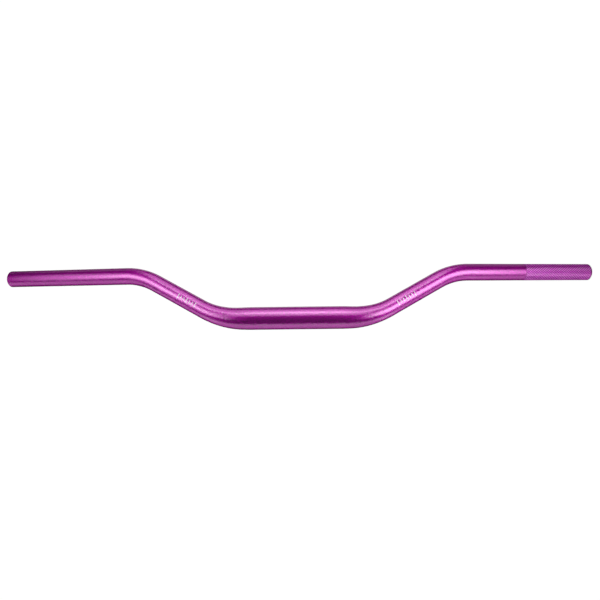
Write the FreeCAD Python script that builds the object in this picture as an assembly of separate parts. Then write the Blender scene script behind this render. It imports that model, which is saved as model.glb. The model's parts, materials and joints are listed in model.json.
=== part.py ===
import FreeCAD, Part
import math
import os

# Motocross handlebar: one aluminium tube, bent twice on each side and open at both ends.
# It is thickest where the clamps hold it and tapers through its lower bends to the size of the grips.
# The bore tapers with it. The rider's left end is knurled, for a glued grip.
# Origin: the middle of the clamp zone. +X is the rider's left, +Y points back to the rider, +Z is up.
# Lengths are in millimetres and angles in degrees.

# Section of the tube
clamp_diameter = 28.6
grip_diameter = 22.2
clamp_wall = 4.0
grip_wall = 4.1

# Centre line, from the middle outwards
overall_width = 800.0
clamp_straight = 136.0
lower_bend_radius = 98.0
lower_bend_angle = 31.6
riser_length = 73.5
upper_bend_radius = 95.0
riser_lean = 30.0
back_sweep = 15.5

# The taper starts a little before the lower bend and ends a little after it
taper_lead = 14.0
taper_tail = 5.5
taper_sections = 13

# Bar ends
end_chamfer = 1.0
bore_chamfer = 0.8

# Knurl: two families of crossed grooves, with a plain land between them and the bar end
knurl_length = 101.0
knurl_land = 1.5
knurl_depth = 0.25
knurl_spacing = 2.9
knurl_angle = 37.0

grip_radius = grip_diameter / 2
bore_radius = grip_radius - grip_wall

# Directions: the risers lean back, and the grips run level and swept back
ORIGIN = FreeCAD.Vector(0, 0, 0)
OUTWARD = FreeCAD.Vector(1, 0, 0)
UP = FreeCAD.Vector(0, 0, 1)
lean = math.radians(riser_lean)
bend = math.radians(lower_bend_angle)
sweep = math.radians(back_sweep)
rise = FreeCAD.Vector(0, math.sin(lean), math.cos(lean))
riser_direction = OUTWARD * math.cos(bend) + rise * math.sin(bend)
grip_direction = FreeCAD.Vector(math.cos(sweep), math.sin(sweep), 0)

# Distances along the centre line from the middle
lower_bend_start = clamp_straight / 2
lower_bend_end = lower_bend_start + lower_bend_radius * bend
upper_bend_start = lower_bend_end + riser_length
taper_start = lower_bend_start - taper_lead
taper_end = lower_bend_end + taper_tail
lower_bend_centre = OUTWARD * lower_bend_start + rise * lower_bend_radius


def along_bar(distance):
    """Point and direction of the centre line on the +X side, as far as the upper bend."""
    if distance <= lower_bend_start:
        return OUTWARD * distance, OUTWARD
    turned = min(distance - lower_bend_start, lower_bend_radius * bend) / lower_bend_radius
    direction = OUTWARD * math.cos(turned) + rise * math.sin(turned)
    spoke = OUTWARD * math.sin(turned) - rise * math.cos(turned)
    point = lower_bend_centre + spoke * lower_bend_radius
    return point + direction * max(distance - lower_bend_end, 0), direction


# Upper bend: an arc in the plane of the riser and the grip
upper_turn = riser_direction.getAngle(grip_direction)
upper_axis = riser_direction.cross(grip_direction).normalize()
upper_inward = upper_axis.cross(riser_direction)
upper_from = along_bar(upper_bend_start)[0]
upper_centre = upper_from + upper_inward * upper_bend_radius
upper_spoke = riser_direction * math.sin(upper_turn) - upper_inward * math.cos(upper_turn)

# Grip: straight, from the upper bend to the bar end, with the knurl near its end
grip_from = upper_centre + upper_spoke * upper_bend_radius
grip_length = (overall_width / 2 - grip_from.x) / grip_direction.x
bar_end = grip_from + grip_direction * grip_length
knurl_from = bar_end - grip_direction * (knurl_land + knurl_length)
knurl_starts = round(math.pi * grip_diameter / knurl_spacing)
groove_spacing = math.pi * grip_diameter / knurl_starts
knurl_rows = round(2 * knurl_length * math.tan(math.radians(knurl_angle)) / groove_spacing)
grip_side = grip_direction.cross(UP)


def circle(point, direction, radius):
    return Part.Wire([Part.Circle(point, direction, radius).toShape()])


def taper(clamp_radius, end_radius):
    """The stretch that narrows smoothly round the lower bend: a skin over circles."""
    rings = []
    for section in range(taper_sections):
        share = section / (taper_sections - 1)
        eased = share * share * (3 - 2 * share)
        point, direction = along_bar(taper_start + (taper_end - taper_start) * share)
        rings.append(circle(point, direction, clamp_radius + (end_radius - clamp_radius) * eased))
    return Part.makeLoft(rings, True, False)


def side(clamp_radius, end_radius, overrun):
    """Everything on the +X side of the straight clamp zone: taper, riser, upper bend and grip."""
    riser_start, _ = along_bar(taper_end)
    riser = Part.makeCylinder(
        end_radius, upper_bend_start - taper_end, riser_start, riser_direction
    )
    disc = Part.Face(circle(upper_from, riser_direction, end_radius))
    upper_bend = disc.revolve(upper_centre, upper_axis, math.degrees(upper_turn))
    grip = Part.makeCylinder(end_radius, grip_length + overrun, grip_from, grip_direction)
    return taper(clamp_radius, end_radius).fuse([riser, upper_bend, grip])


def rod(clamp_radius, end_radius, overrun=0.0):
    """The whole bar as a solid rod of the given radii; overrun lengthens it past both bar ends."""
    middle = Part.makeCylinder(clamp_radius, 2 * taper_start, OUTWARD * -taper_start, OUTWARD)
    left = side(clamp_radius, end_radius, overrun)
    return middle.fuse([left, left.mirror(ORIGIN, OUTWARD)]).removeSplitter()


def knurl_point(row, column):
    """A crossing of two grooves, or the peak between crossings. Both end rows lie at groove depth."""
    low = (row + column) % 2 == 0 or row in (0, knurl_rows)
    radius = grip_radius - knurl_depth if low else grip_radius
    angle = math.pi * column / knurl_starts
    around = grip_side * math.cos(angle) + UP * math.sin(angle)
    return knurl_from + grip_direction * (knurl_length * row / knurl_rows) + around * radius


def facet(*corners):
    return Part.Face(Part.makePolygon([*corners, corners[0]]))


def knurled_rod():
    """The knurled stretch as a solid: flat ends, and each cell of the lattice split along its groove."""
    columns = range(2 * knurl_starts)
    facets = []
    for row in (0, knurl_rows):
        facets.append(facet(*[knurl_point(row, column) for column in columns]))
    for row in range(knurl_rows):
        for column in columns:
            a, b = knurl_point(row, column), knurl_point(row, column + 1)
            c, d = knurl_point(row + 1, column + 1), knurl_point(row + 1, column)
            if (row + column) % 2 == 0:
                facets += [facet(a, b, c), facet(a, c, d)]
            else:
                facets += [facet(a, b, d), facet(b, c, d)]
    skin = Part.Compound(facets)
    skin.sewShape()
    return Part.Solid(skin.Shells[0])


def rims(shape, radius):
    """The two circular edges of this radius on the bar's end faces."""
    return [
        edge
        for edge in shape.Edges
        if isinstance(edge.Curve, Part.Circle)
        and math.isclose(edge.Curve.Radius, radius, abs_tol=1e-4)
        and math.isclose(abs(edge.Curve.Center.x), bar_end.x, abs_tol=1e-4)
    ]


def handlebar_tube():
    """The outer form less the bore, with the plain stretch at the knurl swapped for the knurled one."""
    outer = rod(clamp_diameter / 2, grip_radius)
    bore = rod(clamp_diameter / 2 - clamp_wall, bore_radius, overrun=grip_diameter)
    plain = Part.makeCylinder(grip_diameter, knurl_length, knurl_from, grip_direction)
    tube = outer.cut(bore)
    tube = tube.makeChamfer(end_chamfer, rims(tube, grip_radius))
    tube = tube.makeChamfer(bore_chamfer, rims(tube, bore_radius))
    return tube.cut(plain).fuse(knurled_rod().cut(bore))


os.makedirs("parts", exist_ok=True)
tube = handlebar_tube().Solids[0]
tube.exportStep("parts/handlebar_tube.step")
print("volume", round(tube.Volume / 1000, 1), "cm3, faces", len(tube.Faces), "valid", tube.isValid())
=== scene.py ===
import json
import math

import bpy
import numpy as np
from mathutils import Matrix, Vector


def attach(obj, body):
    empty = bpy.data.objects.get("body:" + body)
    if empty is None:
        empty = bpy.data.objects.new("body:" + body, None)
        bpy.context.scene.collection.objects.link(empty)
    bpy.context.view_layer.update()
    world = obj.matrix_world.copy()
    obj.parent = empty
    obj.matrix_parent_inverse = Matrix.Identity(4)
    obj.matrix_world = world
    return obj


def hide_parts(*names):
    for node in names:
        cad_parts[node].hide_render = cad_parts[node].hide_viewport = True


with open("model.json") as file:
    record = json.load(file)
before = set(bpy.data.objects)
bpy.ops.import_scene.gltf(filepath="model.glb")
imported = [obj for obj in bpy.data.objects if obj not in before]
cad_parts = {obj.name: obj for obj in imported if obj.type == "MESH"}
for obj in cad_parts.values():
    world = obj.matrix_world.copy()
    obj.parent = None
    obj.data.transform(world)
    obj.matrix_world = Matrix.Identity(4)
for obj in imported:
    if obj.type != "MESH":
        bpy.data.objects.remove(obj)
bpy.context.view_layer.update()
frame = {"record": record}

# A motocross handlebar in purple anodised aluminium, shown from the front on a pale stage.
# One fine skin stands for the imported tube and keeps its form: bends, taper, bore and knurl.
# Metres and radians, in the frame's axes: +X is the rider's left, +Y points back to the rider, +Z is up.

MM = 0.001
mounts = {mount["name"]: mount for mount in frame["record"]["mounts"]}

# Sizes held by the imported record
clamp_radius = mounts["clamp_zone"]["dims"]["r_mm"] * MM
grip_radius = mounts["knurled_grip_seat"]["dims"]["r_mm"] * MM
bore_radius = mounts["clutch_bar_end_bore"]["dims"]["r_mm"] * MM
knurl_length = mounts["knurled_grip_seat"]["dims"]["length_mm"] * MM
knurl_middle = Vector(mounts["knurled_grip_seat"]["pos_m"])
grip_direction = Vector(mounts["knurled_grip_seat"]["axis"]).normalized()

# Sizes of the centre line, the taper and its wall, from the middle outwards
clamp_wall = 4.0 * MM
clamp_straight = 136.0 * MM
lower_bend_radius = 98.0 * MM
lower_bend_angle = math.radians(31.6)
riser_length = 73.5 * MM
riser_lean = math.radians(30.0)
upper_bend_radius = 95.0 * MM
taper_lead = 14.0 * MM
taper_tail = 5.5 * MM

# Bar ends and knurl; knurl_flat is the share of the way from groove to peak that is cut flat
end_chamfer = 1.0 * MM
bore_chamfer = 0.8 * MM
knurl_land = 1.5 * MM
knurl_depth = 0.25 * MM
knurl_starts = 24
knurl_rows = 52
knurl_flat = 0.50

# Painted light on the knurl: 0 in its grooves, painted dark as shade, 1 on its tops, painted bright as a
# highlight, and this on the plain tube, where none is painted
unpainted_level = 0.49

# A scale of etched ticks on the front of each riser: every third tick is long.
# Its middle is given along the bar, and by a turn round the tube, up from the front.
# The ticks stand a little proud of the tube and reach a little below its facets.
tick_count = 7
tick_spacing = 4.3 * MM
tick_width = 1.3 * MM
tick_heights = (7.2 * MM, 4.6 * MM, 4.6 * MM)
tick_middle = 142.0 * MM
tick_angle = math.radians(11.0)
tick_bed = 0.05 * MM
tick_proud = 0.03 * MM

# Fineness: points round the tube, steps along it, and steps along the arc of a tick
around = 192
knurl_steps = around // (2 * knurl_starts)
bend_step = 2.0 * MM
straight_step = 12.0 * MM
bore_coarser = 2.5
tick_steps = 6

# Directions of the bar's runs and the turns between them
OUTWARD = Vector((1, 0, 0))
UP = Vector((0, 0, 1))
rise = Vector((0, math.sin(riser_lean), math.cos(riser_lean)))
riser_direction = OUTWARD * math.cos(lower_bend_angle) + rise * math.sin(lower_bend_angle)
upper_bend_angle = riser_direction.angle(grip_direction)
lower_axis = OUTWARD.cross(rise)
upper_axis = riser_direction.cross(grip_direction).normalized()

# Axes carried along the bar: its direction, sideways and up. At the grip they are level.
grip_axes = Matrix((grip_direction, grip_direction.cross(UP), UP)).transposed()
riser_axes = Matrix.Rotation(-upper_bend_angle, 3, upper_axis) @ grip_axes
middle_axes = Matrix.Rotation(-lower_bend_angle, 3, lower_axis) @ riser_axes

# Distances along the centre line from the middle
lower_bend_start = clamp_straight / 2
lower_bend_end = lower_bend_start + lower_bend_radius * lower_bend_angle
upper_bend_start = lower_bend_end + riser_length
upper_bend_end = upper_bend_start + upper_bend_radius * upper_bend_angle
taper_start = lower_bend_start - taper_lead
taper_end = lower_bend_end + taper_tail


def along_bar(distance):
    """Point of the centre line on the +X side, and the carried axes there."""
    point = Vector((0, 0, 0))
    axes = middle_axes.copy()
    runs = (
        (lower_bend_start, None, None),
        (lower_bend_end, lower_axis, lower_bend_radius),
        (upper_bend_start, None, None),
        (upper_bend_end, upper_axis, upper_bend_radius),
        (math.inf, None, None),
    )
    begin = 0.0
    for end, axis, radius in runs:
        step = min(distance, end) - begin
        if axis is None:
            point = point + axes.col[0] * step
        else:
            turn = Matrix.Rotation(step / radius, 3, axis)
            spoke = axes.col[0].cross(axis) * radius
            point = point + turn @ spoke - spoke
            axes = turn @ axes
        if distance <= end:
            return point, axes
        begin = end


grip_from = along_bar(upper_bend_end)[0]
knurl_start = upper_bend_end + (knurl_middle - grip_from).dot(grip_direction) - knurl_length / 2
knurl_end = knurl_start + knurl_length
bar_end = knurl_end + knurl_land


def eased(distance, at_clamp, at_end):
    """A radius that goes smoothly from one value to the other through the taper."""
    share = min(max((distance - taper_start) / (taper_end - taper_start), 0), 1)
    return at_clamp + (at_end - at_clamp) * share * share * (3 - 2 * share)


def outer_radius(distance):
    return eased(distance, clamp_radius, grip_radius)


def inner_radius(distance):
    return eased(distance, clamp_radius - clamp_wall, bore_radius)


def stops(limit, coarser=1.0):
    """Distances from the middle to the limit, close together where the bar bends or tapers."""
    marks = [0.0, taper_start, taper_end, upper_bend_start, upper_bend_end, limit]
    steps = [straight_step, bend_step, straight_step, bend_step, straight_step]
    found = [0.0]
    for low, high, step in zip(marks, marks[1:], steps):
        count = max(1, round((high - low) / (step * coarser)))
        found += [low + (high - low) * (k + 1) / count for k in range(count)]
    return found


def knurl_radii(row):
    """Radii round the tube at a row of the knurl: flat-topped diamonds between crossed grooves."""
    column = np.arange(around) / knurl_steps
    rising = 1 - np.abs(1 - np.mod(row + column, 2))
    falling = 1 - np.abs(1 - np.mod(row - column, 2))
    run_out = min(row, knurl_rows - row)
    height = np.minimum(np.minimum(rising, falling), run_out)
    height = np.minimum(height / (1 - knurl_flat), 1)
    return grip_radius - knurl_depth * (1 - height)


class Skin:
    """A closed skin laid ring by ring: its points, its sharp rings, its rows of knurl, and the mask that
    paints shade into the knurl's grooves and a highlight onto its tops.
    """

    def __init__(self):
        self.rings = []
        self.creases = set()
        self.cells = {}
        self.knurl_shade_and_highlight = []
        angle = np.arange(around) * (2 * math.pi / around)
        self.cos, self.sin = np.cos(angle), np.sin(angle)

    def ring(self, distance, radius, crease=False, cell=None):
        """Adds a ring at a distance from the middle, negative on the -X side.

        The radius is one number, or one for each point where the tube is knurled.
        A cell is the number of the row of knurl that starts at this ring.
        """
        point, axes = along_bar(abs(distance))
        sideways, up = np.array(axes.col[1]), np.array(axes.col[2])
        spokes = np.outer(self.cos, sideways) + np.outer(self.sin, up)
        ring = np.array(point) + spokes * np.reshape(radius, (-1, 1))
        if distance < 0:
            ring[:, 0] *= -1
        if crease:
            self.creases.add(len(self.rings))
        if cell is not None:
            self.cells[len(self.rings)] = cell
        # The knurl's height from groove to top sets its painted shade and painted highlight; the plain
        # tube gets the level where none is painted
        if np.ndim(radius):
            self.knurl_shade_and_highlight.append(1 - (grip_radius - radius) / knurl_depth)
        else:
            self.knurl_shade_and_highlight.append(np.full(around, unpainted_level))
        self.rings.append(ring)

    def faces(self):
        """Quads between rings, and triangles split along the grooves in the knurl."""
        made, flat = [], []
        count = len(self.rings)
        for k in range(count):
            row = self.cells.get(k)
            for j in range(around):
                a = k * around + j
                d = k * around + (j + 1) % around
                b = (k + 1) % count * around + j
                c = (k + 1) % count * around + (j + 1) % around
                if row is None:
                    made.append((a, b, c, d))
                    flat.append(False)
                    continue
                # The groove that is nearer to the cell's middle sets the way it is split
                span = 2 * knurl_steps
                rising = abs((row + j + 1) % span - knurl_steps)
                falling = abs((row - j) % span - knurl_steps)
                if rising > falling:
                    made += [(a, b, d), (b, c, d)]
                else:
                    made += [(a, b, c), (a, c, d)]
                flat += [True, True]
        return made, flat

    def mesh(self, name):
        """The skin as a mesh, smooth but for the knurl and the sharp rings."""
        made, flat = self.faces()
        mesh = bpy.data.meshes.new(name)
        mesh.from_pydata(np.concatenate(self.rings).tolist(), [], made)
        mesh.polygons.foreach_set("use_smooth", [not each for each in flat])
        # An edge is sharp where both its ends lie in the same sharp ring
        ends = np.zeros(len(mesh.edges) * 2, dtype=np.int64)
        mesh.edges.foreach_get("vertices", ends)
        first, second = (ends.reshape(-1, 2) // around).T
        sharp = (first == second) & np.isin(first, sorted(self.creases))
        mesh.edges.foreach_set("use_edge_sharp", sharp.tolist())
        # A point attribute that the material reads to paint shade into the knurl's grooves and a
        # highlight onto its tops
        knurl_shade_and_highlight = mesh.attributes.new("knurl_shade_and_highlight", "FLOAT", "POINT")
        knurl_shade_and_highlight.data.foreach_set("value", np.concatenate(self.knurl_shade_and_highlight))
        mesh.update()
        return mesh


def placed(name, data):
    """A new object in the scene that holds this mesh, lamp or camera."""
    item = bpy.data.objects.new(name, data)
    bpy.context.scene.collection.objects.link(item)
    return item


def handlebar_skin():
    """The whole tube: outside from -X to +X, round the end, and back through the bore."""
    skin = Skin()
    shoulder = bar_end - end_chamfer
    outside = stops(shoulder)
    # Outside, as far as the knurl
    skin.ring(-bar_end, grip_radius - end_chamfer, crease=True)
    skin.ring(-shoulder, grip_radius, crease=True)
    for distance in reversed(outside[1:-1]):
        skin.ring(-distance, outer_radius(distance))
    for distance in outside:
        if distance < knurl_start:
            skin.ring(distance, outer_radius(distance))
    # Knurl, between two small steps
    skin.ring(knurl_start, grip_radius, crease=True)
    last = knurl_rows * knurl_steps
    for row in range(last + 1):
        distance = knurl_start + knurl_length * row / last
        cell = row if row < last else None
        skin.ring(distance, knurl_radii(row / knurl_steps), crease=row in (0, last), cell=cell)
    skin.ring(knurl_end, grip_radius, crease=True)
    # End, and back through the bore
    skin.ring(shoulder, grip_radius, crease=True)
    skin.ring(bar_end, grip_radius - end_chamfer, crease=True)
    skin.ring(bar_end, bore_radius + bore_chamfer, crease=True)
    inside = stops(bar_end - bore_chamfer, bore_coarser)
    skin.ring(inside[-1], bore_radius, crease=True)
    for distance in reversed(inside[:-1]):
        skin.ring(distance, inner_radius(distance))
    for distance in inside[1:-1]:
        skin.ring(-distance, inner_radius(distance))
    skin.ring(-inside[-1], bore_radius, crease=True)
    skin.ring(-bar_end, bore_radius + bore_chamfer, crease=True)
    return placed("handlebar_skin", skin.mesh("handlebar_skin"))


def riser_ticks(name, hand):
    """The etched scale on one riser as thin curved slabs; hand is 1 on the +X side, else -1."""
    corners = ((-0.5, -tick_bed), (-0.5, tick_proud), (0.5, tick_proud), (0.5, -tick_bed))
    sides = len(corners)
    points, made = [], []
    for tick in range(tick_count):
        middle = tick_middle + (tick - (tick_count - 1) / 2) * tick_spacing
        reach = tick_heights[tick % len(tick_heights)] / (2 * grip_radius)
        first = len(points)
        for step in range(tick_steps + 1):
            angle = tick_angle + reach * (2 * step / tick_steps - 1)
            for share, lift in corners:
                point, axes = along_bar(middle + share * tick_width)
                spoke = axes.col[1] * math.cos(angle) + axes.col[2] * math.sin(angle)
                point = point + spoke * (grip_radius + lift)
                points.append((point.x * hand, point.y, point.z))
        for step in range(tick_steps):
            a = first + sides * step
            b = a + sides
            made += [(a + k, a + (k + 1) % sides, b + (k + 1) % sides, b + k) for k in range(sides)]
        made += [(first + 3, first + 2, first + 1, first), (b, b + 1, b + 2, b + 3)]
    if hand < 0:
        made = [face[::-1] for face in made]
    mesh = bpy.data.meshes.new(name)
    mesh.from_pydata(points, [], made)
    return placed(name, mesh)


# Colours of the dye in plain places, of the painted highlight on the knurl's tops, and what the metal
# reflects at its edges
dye_colour = (0.615, 0.000, 0.500, 1.0)
knurl_highlight_colour = (0.960, 0.070, 0.830, 1.0)
edge_tint = (0.15, 0.00, 0.12, 1.0)
dye_roughness = (0.43, 0.49)

# Bare etched metal, from its palest to its dullest patches
etched_pale = (1.00, 0.92, 1.00, 1.0)
etched_dull = (0.92, 0.78, 0.92, 1.0)
etched_roughness = (0.5, 0.7)

# Textures as scale and detail, depths of the two bumps, and how much the tone goes up and down
grain_texture = (1500.0, 1.0)
speckle_texture = (560.0, 1.0)
cloud_texture = (26.0, 3.0)
patch_texture = (900.0, 2.0)
grain_depth = 0.05 * MM
speckle_depth = 0.19 * MM
speckle_tone = 0.22
cloud_tone = 0.04

# Clear coat: its weight is 1 where the surface faces the eye, and falls to coat_weakest
# where the cosine of the angle to the eye has dropped by coat_turned
coat_roughness = 0.14
coat_ior = 2.32
coat_weakest = 0.49
coat_turned = 0.5

# A noise texture's values lie mostly between these
noise_low = 0.3
noise_high = 0.7


class Nodes:
    """A material's node tree, with short ways to add nodes and join them."""

    def __init__(self, name):
        self.material = bpy.data.materials.new(name)
        self.material.use_nodes = True
        self.tree = self.material.node_tree
        self.tree.nodes.clear()

    def add(self, kind, inputs=(), **settings):
        """A node with its settings; an input is a value, or the output that feeds it."""
        node = self.tree.nodes.new(kind)
        for name, value in settings.items():
            setattr(node, name, value)
        for name, value in dict(inputs).items():
            if isinstance(value, bpy.types.NodeSocket):
                self.tree.links.new(value, node.inputs[name])
            else:
                node.inputs[name].default_value = value
        return node

    def noise(self, scale, detail):
        place = self.add("ShaderNodeTexCoord").outputs["Object"]
        inputs = {"Vector": place, "Scale": scale, "Detail": detail}
        return self.add("ShaderNodeTexNoise", inputs).outputs["Fac"]

    def spread(self, source, low, high, from_low=noise_low, from_high=noise_high, clamp=True):
        """Maps a range of values, a texture's if none is given, to low..high."""
        return self.add("ShaderNodeMapRange", {
            "Value": source,
            "From Min": from_low,
            "From Max": from_high,
            "To Min": low,
            "To Max": high,
        }, clamp=clamp).outputs["Result"]

    def compute(self, operation, first, second):
        return self.add("ShaderNodeMath", {0: first, 1: second}, operation=operation).outputs[0]

    def mix(self, factor, first, second, blend="MIX"):
        """A mix of two colours. Their sockets share a name with others, so they go by number."""
        inputs = {"Factor": factor, 6: first, 7: second}
        return self.add("ShaderNodeMix", inputs, data_type="RGBA", blend_type=blend).outputs[2]

    def bump(self, height, depth, **under):
        """A bumped normal, on top of another one where that is given as Normal."""
        inputs = {"Height": height, "Strength": 1.0, "Distance": depth, **under}
        return self.add("ShaderNodeBump", inputs).outputs["Normal"]

    def finished(self, surface):
        self.add("ShaderNodeOutputMaterial", {"Surface": surface.outputs[0]})
        return self.material


def anodised():
    """Blasted and anodised metal: grain under a clear coat, with painted shade in the knurl's grooves
    and a painted highlight on its tops.
    """
    nodes = Nodes("anodised_purple")
    # The mask of painted shade in the knurl's grooves and painted highlight on its tops
    knurl_shade_and_highlight = nodes.add("ShaderNodeAttribute", attribute_name="knurl_shade_and_highlight").outputs["Fac"]
    grain = nodes.noise(*grain_texture)
    speckle = nodes.noise(*speckle_texture)
    cloud = nodes.noise(*cloud_texture)
    # Tone of the dye: speckles and faint clouds, with painted shade that makes the grooves black and a
    # painted highlight that makes the tops brighter
    speckled = nodes.spread(speckle, -speckle_tone, speckle_tone)
    clouded = nodes.spread(cloud, 1 - cloud_tone, 1 + cloud_tone)
    shade = nodes.spread(knurl_shade_and_highlight, 0.0, 1.0, 0.0, unpainted_level, clamp=False)
    tone = nodes.compute("MULTIPLY", nodes.compute("ADD", speckled, clouded), shade)
    # Share of the painted highlight colour: none on the plain tube and in the grooves, all of it on the
    # knurl's tops
    highlighted = nodes.spread(knurl_shade_and_highlight, 0.0, 1.0, unpainted_level, 1.0)
    dye = nodes.mix(1.0, nodes.mix(highlighted, dye_colour, knurl_highlight_colour), tone, blend="MULTIPLY")
    # Clear coat: none in the grooves, and weaker towards the tube's edges
    facing = nodes.add("ShaderNodeLayerWeight", {"Blend": 0.5}).outputs["Facing"]
    weakened = nodes.spread(facing, 1.0, coat_weakest, 0.0, coat_turned)
    coat = nodes.compute("MULTIPLY", nodes.spread(knurl_shade_and_highlight, 0.0, 1.0, 0.0, unpainted_level), weakened)
    normal = nodes.bump(speckle, speckle_depth, Normal=nodes.bump(grain, grain_depth))
    return nodes.finished(nodes.add("ShaderNodeBsdfPrincipled", {
        "Base Color": dye,
        "Metallic": 1.0,
        "Specular Tint": edge_tint,
        "Roughness": nodes.spread(speckle, *dye_roughness),
        "Coat Weight": coat,
        "Coat Roughness": coat_roughness,
        "Coat IOR": coat_ior,
        "Normal": normal,
        "Coat Normal": normal,
    }))


def etched():
    """Bare metal where the dye is burnt away: pale, matt and slightly uneven."""
    nodes = Nodes("etched_metal")
    patch = nodes.noise(*patch_texture)
    return nodes.finished(nodes.add("ShaderNodeBsdfPrincipled", {
        "Base Color": nodes.mix(nodes.spread(patch, 0.0, 1.0), etched_pale, etched_dull),
        "Metallic": 1.0,
        "Roughness": nodes.spread(patch, *etched_roughness),
    }))


piece = handlebar_skin()
piece.data.materials.append(anodised())
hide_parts("handlebar_tube")
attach(piece, "root")

etched_metal = etched()
for name, hand in (("left_riser_ticks", 1), ("right_riser_ticks", -1)):
    piece = riser_ticks(name, hand)
    piece.data.materials.append(etched_metal)
    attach(piece, "root")


# Stage: a pale strip of floor under the bar, a pale wall far behind it, and dim surroundings.
# Each panel has its middle, two half sides and the glow that is added to its paint.
stage_colour = (0.80, 0.80, 0.80, 1.0)
surroundings = (0.03, 0.03, 0.03, 1.0)
panels = (
    ("floor", (0, 0.01, -0.60), (1.24, 0, 0), (0, 0.375, 0), 0.36),
    ("backdrop", (-0.13, 8.0, 3.35), (4.35, 0, 0), (0, 0, 7.70), 1.0),
)


def pale(name, glow):
    """A matt pale stage surface that the eye and mirrors see a little brighter than its paint."""
    nodes = Nodes(name)
    seen = nodes.add("ShaderNodeLightPath").outputs
    paint = nodes.add("ShaderNodeBsdfDiffuse", {"Color": stage_colour})
    mirrored = nodes.compute("MAXIMUM", seen["Is Glossy Ray"], seen["Is Transmission Ray"])
    watched = nodes.compute("MAXIMUM", seen["Is Camera Ray"], mirrored)
    light = nodes.add("ShaderNodeEmission", {"Strength": nodes.compute("MULTIPLY", watched, glow)})
    return nodes.finished(nodes.add("ShaderNodeAddShader", {0: paint.outputs[0], 1: light.outputs[0]}))


def panel(name, middle, across, along, glow):
    """A flat rectangle; across and along are its half sides."""
    middle, across, along = Vector(middle), Vector(across), Vector(along)
    corners = [middle + across * u + along * v for u, v in ((-1, -1), (1, -1), (1, 1), (-1, 1))]
    mesh = bpy.data.meshes.new(name)
    mesh.from_pydata(corners, [], [(0, 1, 2, 3)])
    mesh.materials.append(pale(f"{name}_paint", glow))
    plane = placed(name, mesh)


for each in panels:
    panel(*each)

world = bpy.data.worlds.new("studio")
world.use_nodes = True
world.node_tree.nodes["Background"].inputs["Color"].default_value = surroundings
bpy.context.scene.world = world

# Softboxes, left and right as in the picture: name, place, width, height and layers.
# A layer is a lamp on a share of the width and of the height, with its own radiance.
# Each is nearer to the bar than the last by this share of its distance, so that it is seen in front.
layer_step = 0.01
softboxes = (
    ("top", (0.0, -0.713, 1.427), 1.507, 2.392, ((1.0, 1.0, 0.82), (0.285, 0.285, 0.95))),
    ("upper_strip", (0.0, -0.805, 1.291), 1.36, 0.28, ((1.0, 1.0, 1.45),)),
    ("lower_strip", (0.0, -1.046, 1.163), 0.6, 0.28, ((1.0, 1.0, 1.0),)),
    ("back_left", (-1.05, 0.55, 1.40), 0.6, 0.6, ((1.0, 1.0, 0.38),)),
    ("back_right", (1.05, 0.55, 1.40), 0.6, 0.6, ((1.0, 1.0, 0.45),)),
    ("under_left", (-0.335, 0.0, -0.245), 0.16, 0.12, ((1.0, 1.0, 0.60),)),
    ("under_right", (0.335, 0.0, -0.245), 0.16, 0.12, ((1.0, 1.0, 0.90),)),
    ("low_left", (-1.02, 0.26, -0.39), 0.5, 0.38, ((1.0, 1.0, 0.80),)),
    ("low_right", (1.02, 0.26, -0.39), 0.5, 0.38, ((1.0, 1.0, 0.95),)),
    (
        "left", (-0.498, -0.357, 0.079), 0.590, 0.498,
        ((1.0, 1.0, 0.70), (0.53, 0.53, 1.43), (0.28, 0.28, 1.20)),
    ),
    ("right", (0.478, -0.373, 0.033), 0.472, 0.425, ((1.0, 1.0, 1.52), (0.59, 0.59, 1.80))),
)


def softbox(name, place, width, height, radiance):
    """A rectangular lamp that faces the bar's middle and isn't seen itself."""
    data = bpy.data.lights.new(name, "AREA")
    data.shape = "RECTANGLE"
    data.size = width
    data.size_y = height
    data.energy = radiance * math.pi * width * height
    lamp = placed(name, data)
    lamp.location = place
    lamp.rotation_euler = (-place).to_track_quat("-Z", "Y").to_euler()
    lamp.visible_camera = False


for name, place, width, height, layers in softboxes:
    for layer, (share_across, share_up, radiance) in enumerate(layers):
        nearer = Vector(place) * (1 - layer_step * layer)
        softbox(f"{name}_{layer}", nearer, width * share_across, height * share_up, radiance)


# Camera: its focal length is in pixels of an image of this width, and its sensor is in millimetres
camera_place = Vector((0.018449, -0.800, 0.022525))
camera_turn = 0.01718
camera_roll = -0.01183
focal_pixels = 638.35
image_width = 600
sensor_width = 36.0
nearest_seen = 0.05

data = bpy.data.cameras.new("camera")
data.sensor_width = sensor_width
data.lens = focal_pixels / image_width * sensor_width
data.clip_start = nearest_seen
camera = placed("camera", data)
forward = Vector((-math.sin(camera_turn), math.cos(camera_turn), 0))
level_right = forward.cross(UP)
right = level_right * math.cos(camera_roll) + UP * math.sin(camera_roll)
up = right.cross(forward)
turned = Matrix((right, up, -forward)).transposed().to_4x4()
camera.matrix_world = Matrix.Translation(camera_place) @ turned
bpy.context.scene.camera = camera
bpy.context.scene.view_settings.view_transform = "Standard"
